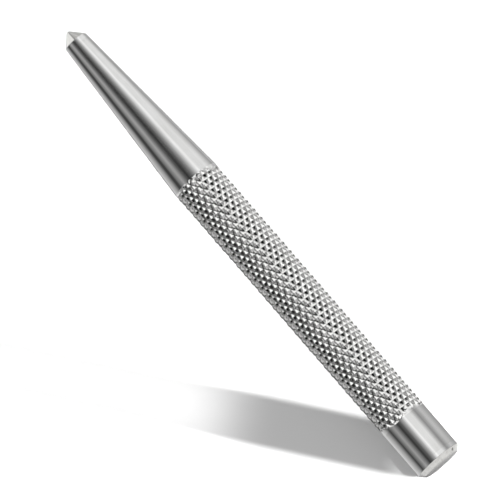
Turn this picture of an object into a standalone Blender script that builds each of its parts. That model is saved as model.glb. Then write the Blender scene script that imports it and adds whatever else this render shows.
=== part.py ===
"""A plain centre punch, turned from one steel bar, lying on its side.

Metres, +Z up. The bar's axis runs along X, with the point at -X and the struck head at +X, and the
knurled grip rests on z = 0. Each zone of the bar is one object. The zones are turned upright first, with
local Z running from the tip of the point to the struck face, and are then laid along world X.
"""

import math

import bmesh
import bpy
from mathutils import Matrix, Vector

MM = 0.001

# Driving dimensions
OVERALL_LENGTH = 115.0 * MM
POINT_ANGLE = math.radians(82.0)  # included angle of the ground point
POINT_TIP_RADIUS = 0.6 * MM
SHOULDER_RADIUS = 2.6 * MM  # where the ground point meets the tapered shank
SHANK_END_RADIUS = 5.10 * MM
HEAD_RADIUS = 5.0 * MM
HEAD_LENGTH = 11.6 * MM  # from the knurl's end to the struck face, chamfer included
CHAMFER = 1.0 * MM  # 45 degree chamfer round the struck face
EDGE_RADIUS = 0.2 * MM
SHOULDER_LAND = 1.0 * MM  # length of taper that belongs to the ground point
CROWN_LAND = 1.0 * MM  # length of cylinder that belongs to the striking crown

KNURL_CREST_RADIUS = 5.15 * MM  # on every other line of crests
KNURL_CREST_DROP = 0.06 * MM  # how much lower the lines between them stand
KNURL_DEPTH = 0.40 * MM
KNURL_STARTS = 22  # grooves round the bar, in each hand
KNURL_ROWS = 57  # half diamonds along the bar
KNURL_LENGTH = 63.4 * MM

GAP = 0.3 * MM  # between the faces where two zones of the bar meet
TURNED_STEPS = 64
ARC_STEPS = 3
TIP_ARC_STEPS = 5

# Stations along the bar, measured from the tip of the point. Rounding the tip sets it back from the
# place where the cone's sides would meet.
TIP_SETBACK = POINT_TIP_RADIUS * (1 / math.sin(POINT_ANGLE / 2) - 1)
POINT_LENGTH = SHOULDER_RADIUS / math.tan(POINT_ANGLE / 2) - TIP_SETBACK
KNURL_END = OVERALL_LENGTH - HEAD_LENGTH
KNURL_START = KNURL_END - KNURL_LENGTH
POINT_BACK = POINT_LENGTH + SHOULDER_LAND
CROWN_FRONT = OVERALL_LENGTH - CHAMFER - CROWN_LAND

# The knurl's crests stand in this many lines along the bar. At rest the lowest line hangs just clear and
# the higher lines on either side of it carry the bar, so that it doesn't roll.
CREST_LINES = 2 * KNURL_STARTS
LINE_STEP = 2 * math.pi / CREST_LINES
AXIS_HEIGHT = KNURL_CREST_RADIUS * math.cos(LINE_STEP)


def clear_scene():
    for old in list(bpy.data.objects):
        bpy.data.objects.remove(old, do_unlink=True)


def new_collection(name):
    collection = bpy.data.collections.new(name)
    bpy.context.scene.collection.children.link(collection)
    return collection


def steel(name, colour, roughness):
    material = bpy.data.materials.new(name)
    material.use_nodes = True
    shader = material.node_tree.nodes["Principled BSDF"]
    shader.inputs["Base Color"].default_value = (*colour, 1.0)
    shader.inputs["Metallic"].default_value = 1.0
    shader.inputs["Roughness"].default_value = roughness
    return material


def add_object(collection, name, mesh, material):
    """Lays an upright mesh along world X, with its station 0 at the -X end of the bar."""
    mesh.materials.append(material)
    piece = bpy.data.objects.new(name, mesh)
    piece.rotation_euler = (0.0, math.pi / 2, 0.0)
    piece.location = (-OVERALL_LENGTH / 2, 0.0, AXIS_HEIGHT)
    collection.objects.link(piece)
    return piece


def rounded_corner(before, corner, after, radius, steps):
    """Points of an arc of this radius that replaces the corner between two straight runs."""
    into = (Vector(before) - Vector(corner)).normalized()
    out = (Vector(after) - Vector(corner)).normalized()
    half_angle = into.angle(out) / 2
    to_tangent = radius / math.tan(half_angle)
    centre = Vector(corner) + (into + out).normalized() * radius / math.sin(half_angle)
    start = (Vector(corner) + into * to_tangent - centre).normalized()
    end = (Vector(corner) + out * to_tangent - centre).normalized()
    return [tuple(centre + start.slerp(end, step / steps) * radius) for step in range(steps + 1)]


def turned(collection, name, outline, material):
    """A solid of revolution from (radius, station) points, listed from the head's end to the tip's."""
    mesh = bpy.data.meshes.new(name)
    points = [(radius, 0.0, station) for radius, station in outline]
    mesh.from_pydata(points, [(i, i + 1) for i in range(len(points) - 1)], [])
    piece = add_object(collection, name, mesh, material)
    lathe = piece.modifiers.new("lathe", "SCREW")
    lathe.axis = "Z"
    lathe.steps = TURNED_STEPS
    lathe.render_steps = TURNED_STEPS
    lathe.use_merge_vertices = True
    lathe.merge_threshold = 0.00001
    return piece


def shank_radius(station):
    """The straight taper from the shoulder of the point to the first row of the knurl."""
    share = (station - POINT_LENGTH) / (KNURL_START - POINT_LENGTH)
    return SHOULDER_RADIUS + share * (SHANK_END_RADIUS - SHOULDER_RADIUS)


def make_ground_point(collection, material):
    """The hardened point: a ground cone with a slightly rounded tip and a crisp shoulder."""
    back = POINT_BACK - GAP / 2
    shoulder = (SHOULDER_RADIUS, POINT_LENGTH)
    opposite = (-SHOULDER_RADIUS, POINT_LENGTH)
    apex = (0.0, -TIP_SETBACK)
    tip_arc = rounded_corner(shoulder, apex, opposite, POINT_TIP_RADIUS, 2 * TIP_ARC_STEPS)
    half_arc = tip_arc[:TIP_ARC_STEPS] + [(0.0, 0.0)]
    outline = [(0.0, back), (shank_radius(back), back), shoulder] + half_arc
    turned(collection, "ground_point", outline, material)


def make_tapered_shank(collection, material):
    """The plain tapered length between the point's shoulder and the knurl."""
    back = KNURL_START - GAP
    front = POINT_BACK + GAP / 2
    outline = [(0.0, back), (shank_radius(back), back), (shank_radius(front), front), (0.0, front)]
    turned(collection, "tapered_shank", outline, material)


def make_knurled_grip(collection, material):
    """The diamond knurl: a lattice of crests, with the grooves of both hands running out at its ends."""
    root_radius = KNURL_CREST_RADIUS - KNURL_DEPTH
    bm = bmesh.new()
    bmesh.ops.create_cone(
        bm,
        cap_ends=True,
        segments=CREST_LINES,
        radius1=root_radius,
        radius2=root_radius,
        depth=KNURL_LENGTH,
        matrix=Matrix.Translation((0.0, 0.0, (KNURL_START + KNURL_END) / 2)),
    )
    caps = [face for face in bm.faces if len(face.verts) == CREST_LINES]
    sides = [edge for edge in bm.edges if abs(edge.verts[0].co.z - edge.verts[1].co.z) > KNURL_LENGTH / 2]
    bmesh.ops.subdivide_edges(bm, edges=sides, cuts=KNURL_ROWS - 1, use_grid_fill=True)

    grooves = []
    for vertex in bm.verts:
        row = round((vertex.co.z - KNURL_START) / KNURL_LENGTH * KNURL_ROWS)
        line = round(math.atan2(vertex.co.y, vertex.co.x) / LINE_STEP)
        if (row + line) % 2 == 1:
            grooves.append(vertex)
        elif 0 < row < KNURL_ROWS:
            radius = KNURL_CREST_RADIUS - (KNURL_CREST_DROP if line % 2 == 0 else 0.0)
            vertex.co.x = radius * math.cos(line * LINE_STEP)
            vertex.co.y = radius * math.sin(line * LINE_STEP)
    bmesh.ops.connect_verts(bm, verts=grooves, faces_exclude=caps)

    mesh = bpy.data.meshes.new("knurled_grip")
    bm.to_mesh(mesh)
    bm.free()
    add_object(collection, "knurled_grip", mesh, material)


def make_plain_head(collection, material):
    """The plain cylinder behind the knurl."""
    back = CROWN_FRONT - GAP / 2
    front = KNURL_END + GAP
    outline = [(0.0, back), (HEAD_RADIUS, back), (HEAD_RADIUS, front), (0.0, front)]
    turned(collection, "plain_head", outline, material)


def make_striking_crown(collection, material):
    """The struck end: a flat face inside a 45 degree chamfer, both corners slightly eased."""
    front = CROWN_FRONT + GAP / 2
    face_corner = (HEAD_RADIUS - CHAMFER, OVERALL_LENGTH)
    side_corner = (HEAD_RADIUS, OVERALL_LENGTH - CHAMFER)
    face_centre = (0.0, OVERALL_LENGTH)
    side_front = (HEAD_RADIUS, front)
    outline = [face_centre]
    outline += rounded_corner(face_centre, face_corner, side_corner, EDGE_RADIUS, ARC_STEPS)
    outline += rounded_corner(face_corner, side_corner, side_front, EDGE_RADIUS, ARC_STEPS)
    outline += [side_front, (0.0, front)]
    turned(collection, "striking_crown", outline, material)


def main():
    clear_scene()
    punch = new_collection("center_punch")
    make_ground_point(punch, steel("point_steel", (0.56, 0.56, 0.54), 0.30))
    make_tapered_shank(punch, steel("shank_steel", (0.60, 0.60, 0.58), 0.16))
    make_knurled_grip(punch, steel("knurl_steel", (0.66, 0.66, 0.64), 0.24))
    make_plain_head(punch, steel("head_steel", (0.60, 0.60, 0.58), 0.16))
    make_striking_crown(punch, steel("crown_steel", (0.54, 0.54, 0.52), 0.34))


main()
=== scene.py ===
"""Looks of the centre punch: a bright turned bar with a ground point, a diamond knurl and a struck head."""

import math

import bpy
import numpy as np
from mathutils import Matrix, Vector


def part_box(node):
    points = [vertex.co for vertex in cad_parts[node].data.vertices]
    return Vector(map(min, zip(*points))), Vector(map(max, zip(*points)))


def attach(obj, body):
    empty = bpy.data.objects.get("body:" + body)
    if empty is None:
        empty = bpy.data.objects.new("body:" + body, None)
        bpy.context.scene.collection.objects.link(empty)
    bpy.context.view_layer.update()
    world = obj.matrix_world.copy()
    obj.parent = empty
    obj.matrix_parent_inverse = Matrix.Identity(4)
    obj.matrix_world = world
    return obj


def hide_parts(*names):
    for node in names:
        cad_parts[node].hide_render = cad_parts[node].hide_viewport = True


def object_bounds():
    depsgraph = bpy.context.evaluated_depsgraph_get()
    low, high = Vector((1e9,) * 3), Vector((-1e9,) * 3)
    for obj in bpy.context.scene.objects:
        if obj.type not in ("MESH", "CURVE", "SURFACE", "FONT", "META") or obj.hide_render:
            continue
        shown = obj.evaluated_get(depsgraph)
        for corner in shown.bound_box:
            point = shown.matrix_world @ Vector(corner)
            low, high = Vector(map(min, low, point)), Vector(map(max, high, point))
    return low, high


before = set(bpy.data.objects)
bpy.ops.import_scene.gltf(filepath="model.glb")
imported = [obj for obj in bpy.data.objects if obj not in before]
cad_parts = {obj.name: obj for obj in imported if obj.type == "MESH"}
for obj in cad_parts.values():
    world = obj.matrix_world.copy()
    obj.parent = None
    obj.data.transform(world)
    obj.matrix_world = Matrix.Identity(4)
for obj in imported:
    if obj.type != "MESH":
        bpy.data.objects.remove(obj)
cad_box = [list(corner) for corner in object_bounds()]

MM = 0.001

# The knurl's lattice. The lines of crests lie where the CAD has them. The grooves have rounded floors, so
# they are shallower than the CAD's, which are V-shaped.
KNURL_STARTS = 22
KNURL_DEPTH = 0.33 * MM
UNEVEN_DEPTH = 0.03 * MM
UNEVEN_CREST = 0.02 * MM
GROOVE_FLOOR = 0.38  # share of a groove's width that its rounded floor takes
CREST_LAND = 0.08  # share of a groove's depth by which the crests are left flat
GROOVE_BLEND = 0.04  # how far the grooves of the two hands melt into each other, as a share of their depth
CREST_DROP = 0.06 * MM  # every other line of crests stands this much lower
CREST_LINES = 2 * KNURL_STARTS
LINE_STEP = 2 * math.pi / CREST_LINES
ROW_STEP = 1.109 * MM  # half a diamond, along the bar
FIRST_CROSSING = 0.82 * MM  # from the grip's front end to a crossing of grooves on the top line

# Mesh fineness
TURNED_STEPS = 240
TURNED_SPACING = 0.9 * MM
KNURL_FINENESS = 6  # mesh steps across half a diamond
ARC_STEPS = 6

# Small forms that the CAD leaves plain
SHOULDER_EDGE = 0.05 * MM
POINT_SLOPE = math.radians(41.0)
TIP_RADIUS = 0.6 * MM
CHAMFER = 1.0 * MM
CROWN_EDGE = 0.20 * MM
CROWN_DOME = 0.15 * MM
WAVINESS = 0.0015 * MM

# Each dent in the chamfer: distance in from the struck face (mm), degrees from the top of the bar towards
# +Y, width (mm) and depth (mm). The first is the nick, which has shade painted into it.
NICK_IN, NICK_TURN = 0.65, 50
CROWN_DENTS = ((NICK_IN, NICK_TURN, 0.26, 0.14), (0.85, 148, 0.18, 0.05), (0.6, 251, 0.2, 0.06))

rng = np.random.default_rng(7)


# ---------------------------------------------------------------- the frame

lowest, highest = (Vector(corner) for corner in cad_box)
AXIS_Z = (lowest.z + highest.z) / 2
CREST_RADIUS = (highest.y - lowest.y) / 2


def rings(node):
    """The (x, radius) of each outer ring of a turned CAD node, from the point's end to the head's."""
    widest = {}
    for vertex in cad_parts[node].data.vertices:
        x = round(vertex.co.x, 6)
        widest[x] = max(widest.get(x, 0.0), math.hypot(vertex.co.y, vertex.co.z - AXIS_Z))
    return sorted(widest.items())


def seam(front_node, back_node):
    """The middle of the gap that the CAD leaves between two neighbouring zones of the bar."""
    return (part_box(front_node)[1].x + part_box(back_node)[0].x) / 2


HEAD_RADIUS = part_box("plain_head")[1].z - AXIS_Z


# ---------------------------------------------------------------- meshes

def mesh_object(name, points, faces, sharp_angle=50.0):
    mesh = bpy.data.meshes.new(name)
    mesh.from_pydata(points, [], faces)
    mesh.shade_smooth()
    mesh.set_sharp_from_angle(angle=math.radians(sharp_angle))
    piece = bpy.data.objects.new(name, mesh)
    bpy.context.scene.collection.objects.link(piece)
    return piece


def wrapped_grid(name, stations, radii, front_pole, back_pole, split=None, sharp_angle=50.0):
    """A closed skin round the bar. radii has one row for each station and one column for each angle.

    Angles run from the top of the bar towards +Y. split, where given, says for each quad which of its two
    diagonals divides it.
    """
    count, steps = radii.shape
    angles = np.arange(steps) * 2 * math.pi / steps
    x = np.repeat(np.asarray(stations)[:, None], steps, axis=1)
    points = np.stack([x, radii * np.sin(angles), AXIS_Z + radii * np.cos(angles)], axis=-1)
    points = points.reshape(-1, 3).tolist()

    here = np.arange(count * steps).reshape(count, steps)
    beside = np.roll(here, -1, axis=1)
    a, b, c, d = here[:-1], here[1:], beside[1:], beside[:-1]
    if split is None:
        faces = np.stack([a, b, c, d], axis=-1).reshape(-1, 4).tolist()
    else:
        rising = [np.stack(corners, axis=-1)[split] for corners in ((a, b, c), (a, c, d))]
        falling = [np.stack(corners, axis=-1)[~split] for corners in ((a, b, d), (b, c, d))]
        faces = np.concatenate(rising + falling).tolist()

    front = len(points)
    points += [[front_pole, 0.0, AXIS_Z], [back_pole, 0.0, AXIS_Z]]
    faces += [[front, int(i), int(j)] for i, j in zip(here[0], beside[0])]
    faces += [[front + 1, int(j), int(i)] for i, j in zip(here[-1], beside[-1])]
    return mesh_object(name, points, faces, sharp_angle)


def rounded(before, corner, after, radius, steps=ARC_STEPS):
    """Points of an arc of this radius that replaces the corner between two straight runs."""
    into = (Vector(before) - Vector(corner)).normalized()
    out = (Vector(after) - Vector(corner)).normalized()
    half = into.angle(out) / 2
    centre = Vector(corner) + (into + out).normalized() * radius / math.sin(half)
    start = (Vector(corner) + into * radius / math.tan(half) - centre).normalized()
    end = (Vector(corner) + out * radius / math.tan(half) - centre).normalized()
    return [tuple(centre + start.slerp(end, step / steps) * radius) for step in range(steps + 1)]


def waviness(stations, steps):
    """The few microns by which a turned and hand-polished bar is out of true."""
    x = np.asarray(stations)[:, None] / (9.0 * MM)
    angle = np.arange(steps)[None, :] * 2 * math.pi / steps
    wave = np.zeros((len(stations), steps))
    for lobes in (2, 3, 5):
        start, drift = rng.uniform(0, 2 * math.pi, 2)
        wave += np.sin(lobes * angle + start + np.sin(x * 2 * math.pi / lobes + drift)) / 3
    return -WAVINESS * (1 + wave)


def turned(name, outline, dents=None):
    """A solid of revolution from (x, radius) points, with its first and last points on the axis."""
    skin = [outline[1]]
    for start, end in zip(outline[1:-2], outline[2:-1]):
        pieces = max(1, math.ceil(abs(end[0] - start[0]) / TURNED_SPACING))
        for piece in range(1, pieces + 1):
            share = piece / pieces
            skin.append((start[0] + (end[0] - start[0]) * share, start[1] + (end[1] - start[1]) * share))
    stations = [x for x, _ in skin]
    radii = np.repeat(np.array([[radius] for _, radius in skin]), TURNED_STEPS, axis=1)
    radii = radii + waviness(stations, TURNED_STEPS)
    if dents is not None:
        radii = dents(np.asarray(stations)[:, None], radii)
    return wrapped_grid(name, stations, radii, outline[0][0], outline[-1][0])


# ---------------------------------------------------------------- the bar's zones

def shank_radius(x):
    """The straight taper behind the point."""
    (x0, r0), (x1, r1) = rings("tapered_shank")
    return r0 + (x - x0) / (x1 - x0) * (r1 - r0)


def shoulder_ring():
    """The (x, radius) of the edge where the ground point meets its land."""
    return [ring for ring in rings("ground_point") if ring[1] > 2 * TIP_RADIUS][0]


def make_point():
    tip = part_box("ground_point")[0].x
    back = seam("ground_point", "tapered_shank")
    shoulder = shoulder_ring()
    apex = (shoulder[0] - shoulder[1] / math.tan(POINT_SLOPE), 0.0)
    tip_arc = rounded((shoulder[0], -shoulder[1]), apex, shoulder, TIP_RADIUS, 2 * ARC_STEPS)
    outline = [(tip, 0.0)] + tip_arc[ARC_STEPS + 1:]
    outline += rounded(apex, shoulder, (back, shank_radius(back)), SHOULDER_EDGE)
    outline += [(back, shank_radius(back)), (back, 0.0)]
    return turned("point", outline)


def make_shank():
    front = seam("ground_point", "tapered_shank")
    back = seam("tapered_shank", "knurled_grip")
    outline = [(front, 0.0), (front, shank_radius(front)), (back, shank_radius(back)), (back, 0.0)]
    return turned("shank", outline)


def make_head():
    front = seam("knurled_grip", "plain_head")
    back = seam("plain_head", "striking_crown")
    return turned("head", [(front, 0.0), (front, HEAD_RADIUS), (back, HEAD_RADIUS), (back, 0.0)])


def crown_dents(x, radii):
    """Presses the dents into the radii, as shallow hollows."""
    angle = np.arange(radii.shape[1])[None, :] * 2 * math.pi / radii.shape[1]
    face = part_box("striking_crown")[1].x
    for distance_in, turn, width, depth in CROWN_DENTS:
        around = (angle - math.radians(turn)) * HEAD_RADIUS
        distance = np.hypot(x - (face - distance_in * MM), around) / (width * MM)
        radii = radii - depth * MM * np.exp(-(distance**2) * 2)
    return radii


def make_crown():
    front = seam("plain_head", "striking_crown")
    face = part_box("striking_crown")[1].x
    face_corner = (face - CROWN_DOME, HEAD_RADIUS - CHAMFER)
    side_corner = (face - CROWN_DOME - CHAMFER, HEAD_RADIUS)
    outline = [(front, 0.0), (front, HEAD_RADIUS)]
    outline += rounded((front, HEAD_RADIUS), side_corner, face_corner, CROWN_EDGE / 2)
    chamfer_start, chamfer_end = Vector(outline[-1]), Vector(face_corner)
    for share in (0.15, 0.3, 0.45, 0.6, 0.75):
        outline.append(tuple(chamfer_start.lerp(chamfer_end, share)))
    outline += rounded(side_corner, face_corner, (face - CROWN_DOME, 0.0), CROWN_EDGE)
    edge = outline[-1][1]
    for tenths in range(9, 0, -1):
        share = tenths / 10
        outline.append((face - CROWN_DOME * share**2, edge * share))
    outline.append((face, 0.0))
    return turned("crown", outline, dents=crown_dents)


def groove_depth(phase):
    """A groove at each whole phase: rounded floor, straight flanks, 1 in its middle and 0 at its edges."""
    from_middle = np.abs(2 * (phase - np.round(phase)))
    curve = 1 / (GROOVE_FLOOR * (2 - GROOVE_FLOOR))
    floor = 1 - curve * from_middle**2
    flank = 2 * curve * GROOVE_FLOOR * (1 - from_middle)
    return np.where(from_middle < GROOVE_FLOOR, floor, flank)


def smooth_max(a, b, width):
    return np.maximum(a, b) + np.maximum(width - np.abs(a - b), 0) ** 2 / (4 * width)


def smooth_step(value, start, end):
    share = np.clip((value - start) / (end - start), 0, 1)
    return share * share * (3 - 2 * share)


def groove_runs_out(x, start, end):
    """1 along a groove, falling to 0 where it starts and, a little more gently, where it ends."""
    run = smooth_step(x, start - 0.2 * MM, start + 0.2 * MM)
    return run * (1 - smooth_step(x, end - 0.35 * MM, end + 0.25 * MM))


def make_grip():
    """The knurl. Each hand's grooves run out on their own, a little unevenly, at both ends."""
    low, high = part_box("knurled_grip")
    front = seam("tapered_shank", "knurled_grip")
    back = seam("knurled_grip", "plain_head")

    # row and line count half diamonds along and round the bar
    first = math.ceil(-FIRST_CROSSING / ROW_STEP * KNURL_FINENESS)
    last = math.floor((high.x - low.x - FIRST_CROSSING) / ROW_STEP * KNURL_FINENESS)
    row = np.arange(first, last + 1)[:, None] / KNURL_FINENESS
    x = low.x + FIRST_CROSSING + row * ROW_STEP
    line = np.arange(CREST_LINES * KNURL_FINENESS)[None, :] / KNURL_FINENESS
    towards_y = 0.5 + 0.5 * np.sin(line * LINE_STEP)  # 1 on the bar's +Y side, 0 on its -Y side

    # How much later than the grip the knurl starts, and how much earlier it ends, in mm round the bar
    late_start = 1.3 * np.clip(2.4 * towards_y - 1.7, 0, 1)
    early_end = 0.30 + 0.42 * np.sin(4 * line * LINE_STEP) + 0.6 * np.clip(0.65 - 2 * towards_y, 0, 1)

    cut = []
    for turn, earlier in ((1, 0.35 * (1 - towards_y)), (-1, 0)):
        phase = (row + turn * line) / 2
        groove = np.round(phase).astype(int) % KNURL_STARTS
        uneven = 0.20 * rng.uniform(-1, 1, (2, KNURL_STARTS))
        start = low.x + (0.15 + late_start + uneven[0][groove]) * MM
        end = high.x - (early_end + earlier + uneven[1][groove]) * MM
        cut.append(groove_depth(phase) * groove_runs_out(x, start, end))
    depth = smooth_max(cut[0], cut[1], GROOVE_BLEND)
    depth = np.maximum(depth / depth.max() - CREST_LAND, 0) / (1 - CREST_LAND)

    # Rolling pushes the crests up above the blank bar, which is left at its own size past the knurl's ends
    raised = smooth_step(x, low.x + (late_start - 0.1) * MM, low.x + (late_start + 0.9) * MM)
    raised = raised * (1 - smooth_step(x, high.x - (early_end + 0.6) * MM, high.x - (early_end - 0.1) * MM))
    share = (x - low.x) / (high.x - low.x)
    blank = shank_radius(low.x) + share * (HEAD_RADIUS - shank_radius(low.x))

    crest_row = np.round((row + line) / 2 - 0.5).astype(int)
    crest_line = np.round((row - line) / 2 - 0.5).astype(int)
    uneven = rng.uniform(0, 1, (64, 64))[crest_row % 64, crest_line % 64]
    crest = np.where(np.round(line) % 2 == 0, CREST_RADIUS - CREST_DROP, CREST_RADIUS)
    crest = crest - UNEVEN_CREST * uneven
    radii = blank + raised * (crest - blank) - (KNURL_DEPTH - UNEVEN_DEPTH * uneven) * depth
    radii = np.minimum(radii, crest)

    whole_row = np.floor(row[:-1] + 1e-9)
    whole_line = np.floor(line + 1e-9)
    split = (whole_row + whole_line) % 2 == 0
    edge_split = np.ones((1, split.shape[1]), dtype=bool)
    split = np.concatenate([edge_split, split, edge_split])

    rim = np.full((1, radii.shape[1]), shank_radius(front))
    radii = np.concatenate([rim, radii, np.full_like(rim, HEAD_RADIUS)])
    stations = np.concatenate([[front], x[:, 0], [back]])
    return wrapped_grid("grip", stations, radii, front, back, split, sharp_angle=24.0)


# ---------------------------------------------------------------- materials

def node(tree, kind, inputs=None, **settings):
    """Adds a shader node. inputs maps socket names or numbers to values or to output sockets."""
    made = tree.nodes.new(kind)
    for key, value in settings.items():
        setattr(made, key, value)
    for key, value in (inputs or {}).items():
        if isinstance(value, bpy.types.NodeSocket):
            tree.links.new(value, made.inputs[key])
        else:
            made.inputs[key].default_value = value
    return made


def ramp(tree, fac, stops):
    made = node(tree, "ShaderNodeValToRGB", {"Fac": fac})
    elements = made.color_ramp.elements
    elements[0].position, elements[-1].position = stops[0][0], stops[-1][0]
    for position, _ in stops[1:-1]:
        elements.new(position)
    for element, (_, value) in zip(elements, stops):
        colour = value if isinstance(value, tuple) else (value, value, value)
        element.color = (*colour, 1.0)
    return made.outputs["Color"]


def math_node(tree, operation, a, b=0.0):
    return node(tree, "ShaderNodeMath", {0: a, 1: b}, operation=operation).outputs[0]


def map_range(tree, value, start, end, low=0.0, high=1.0, smooth=False):
    sockets = {"Value": value, "From Min": start, "From Max": end, "To Min": low, "To Max": high}
    kind = "SMOOTHSTEP" if smooth else "LINEAR"
    return node(tree, "ShaderNodeMapRange", sockets, interpolation_type=kind).outputs[0]


def mix(tree, share, a, b, blend="MIX"):
    made = node(tree, "ShaderNodeMix", {"Factor": share}, data_type="RGBA", blend_type=blend)
    for socket, value in ((made.inputs[6], a), (made.inputs[7], b)):
        if isinstance(value, bpy.types.NodeSocket):
            tree.links.new(value, socket)
        else:
            socket.default_value = (*value, 1.0)
    return made.outputs[2]


def noise(tree, vector, scale, detail=3.0, roughness=0.6):
    sockets = {"Vector": vector, "Scale": scale, "Detail": detail, "Roughness": roughness}
    return node(tree, "ShaderNodeTexNoise", sockets).outputs["Fac"]


def weighted(tree, *terms):
    """The sum of some values, each times its weight."""
    total = None
    for value, weight in terms:
        part = math_node(tree, "MULTIPLY", value, weight)
        total = part if total is None else math_node(tree, "ADD", total, part)
    return total


def tinted(tree, base, mask, strength, colour):
    """The base colour with this much of another in it where the mask is 1."""
    return mix(tree, math_node(tree, "MULTIPLY", mask, strength), base, colour)


class BarSpace:
    """Millimetre coordinates that follow the bar, for the materials' patterns."""

    def __init__(self, tree):
        self.tree = tree
        place = node(tree, "ShaderNodeTexCoord").outputs["Object"]
        centred = node(tree, "ShaderNodeVectorMath", {0: place, 1: (0, 0, AXIS_Z)}, operation="SUBTRACT")
        scaled = node(tree, "ShaderNodeVectorMath", {0: centred.outputs[0], 3: 1 / MM}, operation="SCALE")
        self.solid = scaled.outputs[0]
        self.x, y, z = node(tree, "ShaderNodeSeparateXYZ", {0: self.solid}).outputs
        across = node(tree, "ShaderNodeCombineXYZ", {1: y, 2: z}).outputs[0]
        self.radius = node(tree, "ShaderNodeVectorMath", {0: across}, operation="LENGTH").outputs["Value"]
        self.around = node(tree, "ShaderNodeVectorMath", {0: across}, operation="NORMALIZE").outputs[0]

    def stretched(self, along, across):
        """Pattern space with these frequencies along and across the bar.

        A low frequency along it gives streaks, and a low one across it gives rings.
        """
        sockets = {0: self.solid, 1: (along, across, across)}
        return node(self.tree, "ShaderNodeVectorMath", sockets, operation="MULTIPLY").outputs[0]


def new_material(name):
    material = bpy.data.materials.new(name)
    material.use_nodes = True
    return material, BarSpace(material.node_tree)


def finish_steel(material, colour, roughness, rough_detail, height, strength, reach):
    """Joins a colour, a roughness and a height pattern up to the material's metal shader."""
    tree = material.node_tree
    shader = tree.nodes["Principled BSDF"]
    shader.inputs["Metallic"].default_value = 1.0
    shader.inputs["Specular Tint"].default_value = (1, 1, 1, 1)
    tree.links.new(colour, shader.inputs["Base Color"])
    tree.links.new(map_range(tree, rough_detail, 0, 1, *roughness), shader.inputs["Roughness"])
    bump = node(tree, "ShaderNodeBump", {"Strength": strength, "Distance": reach, "Height": height})
    tree.links.new(bump.outputs[0], shader.inputs["Normal"])
    return material


def scratches(space, seed_shift, along, across, threshold):
    """Sparse hairlines: the thin tops of a stretched noise."""
    tree = space.tree
    sockets = {0: space.stretched(along, across), 1: (seed_shift, 0.5 * seed_shift, 0)}
    shifted = node(tree, "ShaderNodeVectorMath", sockets, operation="ADD").outputs[0]
    tops = noise(tree, shifted, scale=1.0, detail=2.0, roughness=0.5)
    return map_range(tree, tops, threshold, threshold + 0.06)


POLISHED_COLOUR = (0.585, 0.585, 0.582)
POLISHED_DARK = (0.525, 0.523, 0.513)
POLISHED_HAIRLINE = tuple(0.55 * value for value in POLISHED_COLOUR)
WORKED_DARK = (0.47, 0.465, 0.45)
GROUND_COLOUR = (0.62, 0.615, 0.60)
WORN_TIP = (0.68, 0.68, 0.67)
FACED_COLOUR = (0.60, 0.595, 0.58)
PIT_COLOUR = (0.26, 0.25, 0.235)
# Dark colour painted into the chamfer's nick as shade
NICK_PAINTED_SHADE = (0.12, 0.115, 0.105)
KNURL_DARK = (0.60, 0.598, 0.59)
KNURL_COLOUR = (0.665, 0.663, 0.655)
RUBBED_CREST = (0.78, 0.78, 0.77)
# Dark colour painted into the bottom of the knurl's grooves as shade
GROOVE_PAINTED_SHADE = (0.10, 0.098, 0.09)

# Roughness at the bottom and the top of each finish's pattern
POLISHED_ROUGHNESS = (0.05, 0.12)
GROUND_ROUGHNESS = (0.05, 0.19)
KNURL_ROUGHNESS = (0.05, 0.14)
FACED_ROUGHNESS = (0.05, 0.30)

# How far up an end zone's roughness range its polished part stands, and its worked part begins
POLISHED_SHARE = 0.14
WORKED_SHARE = 0.36


def polished_steel(name):
    """Turned and polished: faint rings round the bar, lengthways polishing streaks, stray hairlines."""
    material, space = new_material(name)
    tree = space.tree
    fine_rings = noise(tree, space.stretched(9.0, 0.02), scale=1.0, detail=4.0, roughness=0.7)
    streaks = noise(tree, space.stretched(0.05, 3.0), scale=1.0, detail=4.0, roughness=0.65)
    clouds = noise(tree, space.solid, scale=0.22, detail=3.0, roughness=0.55)
    lengthways = scratches(space, seed_shift=3.1, along=0.35, across=9.0, threshold=0.70)
    crossways = scratches(space, seed_shift=8.7, along=7.0, across=0.8, threshold=0.72)
    hairlines = math_node(tree, "MAXIMUM", lengthways, crossways)
    tone = weighted(tree, (streaks, 0.55), (clouds, 0.45))
    base = ramp(tree, tone, [(0.30, POLISHED_DARK), (0.62, POLISHED_COLOUR)])
    base = tinted(tree, base, hairlines, 0.30, POLISHED_HAIRLINE)
    rough = weighted(tree, (clouds, 0.6), (fine_rings, 0.4), (hairlines, 0.5))
    height = weighted(tree, (fine_rings, 0.35), (hairlines, -0.25))
    return finish_steel(material, base, POLISHED_ROUGHNESS, rough, height, strength=0.25, reach=0.001 * MM)


def beside_worked_face(tree, worked, base, rough, height):
    """Leaves the bar's own polish on the part of an end zone where worked is 0."""
    base = mix(tree, worked, POLISHED_COLOUR, base)
    rough = map_range(tree, rough, 0.0, 1.0, WORKED_SHARE, 1.0)
    rough = map_range(tree, worked, 0.0, 1.0, POLISHED_SHARE, rough)
    return base, rough, math_node(tree, "MULTIPLY", height, worked)


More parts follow.
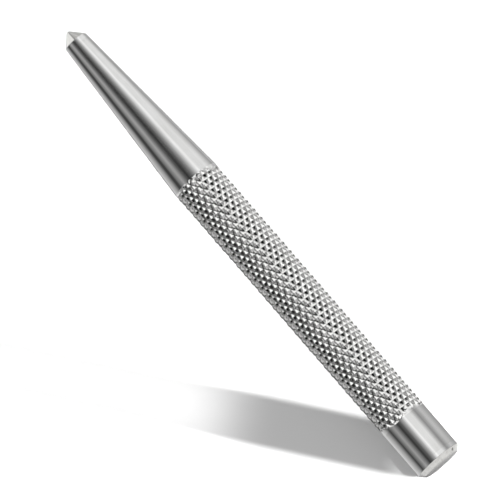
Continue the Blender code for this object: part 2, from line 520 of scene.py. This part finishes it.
def ground_steel(name):
    """The point: ground lengthways, so its marks converge on the tip. The shoulder's land is polished."""
    material, space = new_material(name)
    tree = space.tree
    marks = noise(tree, space.around, scale=16.0, detail=4.0, roughness=0.7)
    broad = noise(tree, space.around, scale=4.5, detail=2.0, roughness=0.5)
    clouds = noise(tree, space.solid, scale=0.9, detail=3.0, roughness=0.55)
    tone = weighted(tree, (marks, 0.5), (broad, 0.5))
    base = ramp(tree, tone, [(0.34, WORKED_DARK), (0.60, GROUND_COLOUR)])
    worn = map_range(tree, space.radius, 0.75, 0.25)
    base = tinted(tree, base, worn, 0.5, WORN_TIP)
    rough = weighted(tree, (clouds, 0.5), (marks, 0.5))
    shoulder = shoulder_ring()[0] / MM
    ground = map_range(tree, space.x, shoulder + 0.04, shoulder - 0.04)
    base, rough, height = beside_worked_face(tree, ground, base, rough, marks)
    return finish_steel(material, base, GROUND_ROUGHNESS, rough, height, strength=0.30, reach=0.003 * MM)


def knurl_steel(name):
    """The knurl: painted shade at the bottom of its grooves, crests rubbed bright, faint rolling marks
    between.
    """
    material, space = new_material(name)
    tree = space.tree
    crest = CREST_RADIUS / MM
    rolled = noise(tree, space.solid, scale=5.0, detail=4.0, roughness=0.65)
    clouds = noise(tree, space.solid, scale=0.35, detail=3.0, roughness=0.6)
    grains = noise(tree, space.solid, scale=22.0, detail=2.0, roughness=0.5)
    edge = weighted(tree, (space.radius, 1.0), (rolled, 0.06))
    low_in_groove = map_range(tree, edge, crest - 0.30, crest - 0.37, smooth=True)
    rubbed = map_range(tree, edge, crest - 0.12, crest - 0.02, smooth=True)
    base = ramp(tree, clouds, [(0.35, KNURL_DARK), (0.65, KNURL_COLOUR)])
    # Painted shade: the bottom of each groove is darkened to stand in for the shade that falls there
    base = tinted(tree, base, low_in_groove, 0.72, GROOVE_PAINTED_SHADE)
    base = tinted(tree, base, rubbed, 0.7, RUBBED_CREST)
    rough = weighted(tree, (rolled, 0.5), (clouds, 0.3), (low_in_groove, 0.8))
    height = weighted(tree, (rolled, 1.0), (grains, 0.3))
    return finish_steel(material, base, KNURL_ROUGHNESS, rough, height, strength=0.25, reach=0.003 * MM)


def struck_steel(name):
    """The crown: rings left by facing and chamfering, small dark pits, and painted shade in the chamfer's
    nick.
    """
    material, space = new_material(name)
    tree = space.tree
    from_centre = node(tree, "ShaderNodeCombineXYZ", {0: space.radius, 1: space.x}).outputs[0]
    facing = noise(tree, from_centre, scale=7.0, detail=4.0, roughness=0.75)
    clouds = noise(tree, space.solid, scale=0.8, detail=3.0, roughness=0.6)
    pits = map_range(tree, noise(tree, space.solid, scale=3.4, detail=2.0, roughness=0.5), 0.64, 0.72)
    tone = weighted(tree, (facing, 0.5), (clouds, 0.5))
    base = ramp(tree, tone, [(0.36, WORKED_DARK), (0.60, FACED_COLOUR)])
    base = tinted(tree, base, pits, 0.35, PIT_COLOUR)
    rough = weighted(tree, (clouds, 0.6), (facing, 0.4))
    height = weighted(tree, (facing, 1.0), (pits, -0.8))

    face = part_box("striking_crown")[1].x / MM
    chamfer_start = face - (CROWN_DOME + CHAMFER) / MM
    faced = map_range(tree, space.x, chamfer_start - 0.06, chamfer_start)
    base, rough, height = beside_worked_face(tree, faced, base, rough, height)

    turn, off_axis = math.radians(NICK_TURN), (HEAD_RADIUS - CHAMFER / 2) / MM
    nick = (face - NICK_IN, off_axis * math.sin(turn), off_axis * math.cos(turn))
    from_nick = node(tree, "ShaderNodeVectorMath", {0: space.solid, 1: nick}, operation="DISTANCE")
    nicked = map_range(tree, from_nick.outputs["Value"], 0.42, 0.12)
    # Painted shade: the nick's hollow is darkened to stand in for the shade that falls in it
    base = tinted(tree, base, nicked, 0.85, NICK_PAINTED_SHADE)
    return finish_steel(material, base, FACED_ROUGHNESS, rough, height, strength=0.25, reach=0.003 * MM)


def dress(piece, material, replaced):
    piece.data.materials.append(material)
    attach(piece, "root")
    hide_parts(replaced)


# ---------------------------------------------------------------- studio

# What the bright steel mirrors: strip boxes that run along the bar, in sections from beside its point to
# beside its head. A list gives one section's radiance by the angle round the bar, in degrees from straight
# up towards +Y. Surfaces that lean towards the point mirror the sections at the point's end, and surfaces
# that lean towards the head mirror those at the head's end.
BESIDE_POINT = [
    (-180, 0.4), (-165, 0.7), (-145, 1.35), (-122, 1.3), (-108, 0.10), (-97, 0.15), (-88, 0.7),
    (-76, 0.7), (-65, 0.28), (-52, 0.50), (-35, 1.20), (-18, 1.75), (0, 1.85), (20, 1.6), (60, 1.5),
    (90, 1.35), (115, 1.4), (125, 0.8), (155, 0.75), (180, 0.4),
]
BEHIND_POINT = [
    (-180, 0.0), (-165, 0.10), (-145, 0.0), (-112, 0.0), (-97, 0.15), (-88, 0.7), (-76, 0.7),
    (-65, 0.28), (-52, 0.50), (-35, 1.15), (-18, 1.75), (0, 1.95), (20, 1.65), (60, 1.55), (90, 1.45),
    (110, 1.6), (140, 2.1), (156, 1.9), (166, 0.1), (180, 0.0),
]
BESIDE_TAPER = [
    (-180, 0.0), (-168, 0.0), (-145, 0.30), (-115, 0.40), (-90, 0.09), (-80, 0.08), (-67, 0.33),
    (-50, 0.60), (-30, 0.18), (-16, 0.045), (0, 0.19), (12, 0.43), (24, 0.85), (40, 1.55), (52, 1.22),
    (88, 1.26), (112, 1.40), (140, 2.1), (156, 1.9), (166, 0.0), (180, 0.0),
]
OVER_TAPER = [
    (-180, 0.0), (-168, 0.05), (-145, 0.93), (-115, 0.62), (-90, 0.09), (-80, 0.08), (-67, 0.33),
    (-50, 0.60), (-30, 0.18), (-16, 0.045), (0, 0.19), (12, 0.43), (24, 0.85), (40, 1.55), (52, 1.22),
    (88, 1.26), (128, 0.53), (150, 0.82), (168, 0.1), (180, 0.0),
]
OVER_HEAD = [
    (-180, 0.80), (-145, 0.90), (-115, 0.62), (-90, 0.07), (-76, 0.30), (-62, 0.57), (-50, 0.33),
    (-35, 0.05), (-20, 0.18), (-5, 0.65), (10, 1.62), (18, 1.28), (42, 1.29), (67, 0.44), (97, 0.91),
    (144, 0.49), (180, 0.80),
]
BEFORE_HEAD = [
    (-180, 0.12), (-174, 0.0), (-155, 0.0), (-112, 0.0), (-98, 0.15), (-88, 0.8), (-74, 0.8),
    (-62, 0.2), (-50, 0.0), (-25, 0.0), (0, 0.01), (15, 0.05), (32, 0.30), (48, 0.65), (70, 0.80),
    (90, 0.40), (105, 0.05), (120, 0.0), (150, 0.0), (160, 1.2), (173, 1.2), (180, 0.12),
]
BEYOND_HEAD = [
    (-180, 0.70), (-174, 0.2), (-162, 0.4), (-150, 1.0), (-122, 1.0), (-112, 0.1), (-98, 0.15),
    (-88, 0.8), (-74, 0.8), (-62, 0.2), (-50, 0.0), (-25, 0.0), (0, 0.01), (15, 0.05), (32, 0.30),
    (48, 0.65), (70, 0.80), (90, 0.40), (105, 0.05), (115, 0.3), (125, 1.0), (166, 1.3), (173, 1.3),
    (180, 0.70),
]
BESIDE_HEAD = [
    (-180, 1.15), (-112, 1.15), (-98, 0.25), (-84, 0.12), (-70, 0.50), (-56, 0.62), (-40, 0.10),
    (-20, 0.08), (-4, 0.60), (8, 1.50), (48, 1.25), (62, 0.45), (84, 0.50), (104, 1.15), (180, 1.15),
]
# Each section, with the directions' X between which it takes over from the one before it
SECTIONS = [
    (BESIDE_POINT, -0.86, -0.80),
    (BEHIND_POINT, -0.50, -0.47),
    (BESIDE_TAPER, -0.43, -0.39),
    (OVER_TAPER, -0.36, -0.32),
    (OVER_HEAD, -0.21, -0.15),
    (BEFORE_HEAD, 0.06, 0.10),
    (BEYOND_HEAD, 0.15, 0.20),
    (BESIDE_HEAD, 0.45, 0.55),
]
# Straight beyond the point, by the direction's Y: a bright box at -Y, a thin dark gap, a dimmer box at +Y
FACING_POINT = [
    (-0.60, 0.7), (-0.42, 1.35), (-0.02, 1.35), (0.05, 0.22), (0.14, 0.80), (0.40, 0.85), (0.60, 0.4),
]
# Straight beyond the head: one even box, and the directions' X between which it takes over
FACING_HEAD = (1.15, 1.15, 1.15)
HEAD_END = (0.78, 0.84)

FLOOR_FILL = (0.455, 0.455, 0.455, 1)  # the light that the floor gets from all round
BACKDROP = (1.05, 1.05, 1.05, 1)  # what the camera sees past the floor


def make_world():
    world = bpy.data.worlds.new("studio")
    bpy.context.scene.world = world
    world.use_nodes = True
    tree = world.node_tree
    tree.nodes.clear()
    direction = node(tree, "ShaderNodeTexCoord").outputs["Generated"]
    x, y, z = node(tree, "ShaderNodeSeparateXYZ", {"Vector": direction}).outputs

    facing_point = [(0.5 + place / 2, value) for place, value in FACING_POINT]
    boxes = ramp(tree, map_range(tree, y, -1, 1), facing_point)
    turn = map_range(tree, math_node(tree, "ARCTAN2", y, z), -math.pi, math.pi)
    for stops, start, end in SECTIONS:
        section = ramp(tree, turn, [(0.5 + degrees / 360, value) for degrees, value in stops])
        boxes = mix(tree, map_range(tree, x, start, end, smooth=True), boxes, section)
    boxes = mix(tree, map_range(tree, x, *HEAD_END, smooth=True), boxes, FACING_HEAD)

    path = node(tree, "ShaderNodeLightPath").outputs
    seen = node(tree, "ShaderNodeBackground", {"Color": boxes}).outputs[0]
    fill = node(tree, "ShaderNodeBackground", {"Color": FLOOR_FILL}).outputs[0]
    white = node(tree, "ShaderNodeBackground", {"Color": BACKDROP}).outputs[0]
    lit = node(tree, "ShaderNodeMixShader", {0: path["Is Diffuse Ray"], 1: seen, 2: fill}).outputs[0]
    shown = node(tree, "ShaderNodeMixShader", {0: path["Is Camera Ray"], 1: lit, 2: white}).outputs[0]
    node(tree, "ShaderNodeOutputWorld", {"Surface": shown})


# Four gridded boxes hang close over the floor and light all of it but one band, which starts at the head.
# Its long edges are sharp. The end away from the head fades, because that box has a wider grid. A spot
# leans in from beyond the head, to light the floor right up to the struck face.
SHADOW_AZIMUTH = math.radians(36.7)  # the band's direction, from the bar's axis
SHADOW_SIDES = (28.1 * MM, 38.1 * MM)  # distances of its long edges from the origin, towards -Y
SHADOW_FAR_END = 0.0 * MM
SHADOW_HEAD_END = 44.5 * MM
BOX_SIZE = 3.0
BOX_HEIGHT = 0.03
BOX_POWER = 2.8  # for each square metre
FAR_BOX_POWER = 3.0
SHARP_GRID = math.radians(4)
SOFT_GRID = math.radians(47)
SPOT_REACH = 60.0 * MM  # from the shadow's head end to the middle of the spot's pool
SPOT_LEAN = math.radians(25)
SPOT_DISTANCE = 0.5
SPOT_POWER = 40.0


def add_light(name, data):
    """Links a light that falls on the floor, but that isn't seen or mirrored in the steel."""
    light = bpy.data.objects.new(name, data)
    light.visible_glossy = False
    light.visible_camera = False
    bpy.context.scene.collection.objects.link(light)
    return light


def add_box(name, towards, edge, grid, power):
    """A square box that faces straight down and lights the floor past this edge, in this direction."""
    data = bpy.data.lights.new(name, "AREA")
    data.shape = "SQUARE"
    data.size = BOX_SIZE
    data.spread = grid
    data.energy = power * BOX_SIZE**2
    light = add_light(name, data)
    light.location = towards * (edge + BOX_SIZE / 2) + Vector((0, 0, BOX_HEIGHT))
    light.rotation_euler.z = SHADOW_AZIMUTH


def make_floor_lights():
    along = Vector((math.cos(SHADOW_AZIMUTH), math.sin(SHADOW_AZIMUTH), 0.0))
    across = Vector((math.sin(SHADOW_AZIMUTH), -math.cos(SHADOW_AZIMUTH), 0.0))
    add_box("upper_side", -across, -SHADOW_SIDES[0], SHARP_GRID, BOX_POWER)
    add_box("lower_side", across, SHADOW_SIDES[1], SHARP_GRID, BOX_POWER)
    add_box("head_end", along, SHADOW_HEAD_END + SPOT_REACH, SHARP_GRID, BOX_POWER)
    add_box("far_end", -along, -SHADOW_FAR_END, SOFT_GRID, FAR_BOX_POWER)

    pool = along * (SHADOW_HEAD_END + SPOT_REACH) + across * sum(SHADOW_SIDES) / 2
    towards = along * math.sin(SPOT_LEAN) + Vector((0, 0, math.cos(SPOT_LEAN)))
    source = pool + towards * SPOT_DISTANCE
    near_edge = pool - along * SPOT_REACH
    data = bpy.data.lights.new("beyond_head", "SPOT")
    data.spot_size = 2 * (source - near_edge).angle(towards)
    data.spot_blend = 0.05
    data.shadow_soft_size = 0.01
    data.energy = SPOT_POWER
    spot = add_light("beyond_head", data)
    spot.matrix_world = Matrix.Translation(source) @ towards.to_track_quat("Z", "Y").to_matrix().to_4x4()


FLOOR_HALF = 1.5
FLOOR_COLOUR = (0.86, 0.86, 0.86, 1)


def make_floor():
    corners = ((-1, -1), (1, -1), (1, 1), (-1, 1))
    floor = mesh_object("floor", [(x * FLOOR_HALF, y * FLOOR_HALF, 0) for x, y in corners], [(0, 1, 2, 3)])
    material = bpy.data.materials.new("floor")
    material.use_nodes = True
    shader = material.node_tree.nodes["Principled BSDF"]
    shader.inputs["Base Color"].default_value = FLOOR_COLOUR
    shader.inputs["Roughness"].default_value = 0.9
    shader.inputs["Specular IOR Level"].default_value = 0.0
    floor.data.materials.append(material)
    floor.visible_glossy = False


# The camera looks down on the bar, which points up to the left, from 10 degrees towards its head, so that
# the struck face just shows.
CAMERA_DISTANCE = 1.09
CAMERA_FIELD = math.radians(5.2)
BAR_SLOPE = math.radians(49.08)
BAR_LEAN = math.radians(9.8)
CAMERA_AIM = Vector((0.12 * MM, -0.97 * MM, 0.0))


def make_camera():
    data = bpy.data.cameras.new("camera")
    data.angle = CAMERA_FIELD
    camera = bpy.data.objects.new("camera", data)
    back = Vector((math.sin(BAR_LEAN), 0.0, math.cos(BAR_LEAN)))
    along = Vector((math.cos(BAR_LEAN), 0.0, -math.sin(BAR_LEAN)))
    across = Vector((0.0, 1.0, 0.0))
    right = along * math.cos(BAR_SLOPE) + across * math.sin(BAR_SLOPE)
    up = across * math.cos(BAR_SLOPE) - along * math.sin(BAR_SLOPE)
    place = Vector((0.0, 0.0, AXIS_Z)) + CAMERA_AIM + back * CAMERA_DISTANCE
    camera.matrix_world = Matrix.Translation(place) @ Matrix((right, up, back)).transposed().to_4x4()
    bpy.context.scene.collection.objects.link(camera)
    bpy.context.scene.camera = camera
    bpy.context.scene.view_settings.view_transform = "Standard"


make_camera()
make_world()
make_floor_lights()
make_floor()
dress(make_point(), ground_steel("point_finish"), "ground_point")
dress(make_shank(), polished_steel("shank_finish"), "tapered_shank")
dress(make_grip(), knurl_steel("grip_finish"), "knurled_grip")
dress(make_head(), polished_steel("head_finish"), "plain_head")
dress(make_crown(), struck_steel("crown_finish"), "striking_crown")
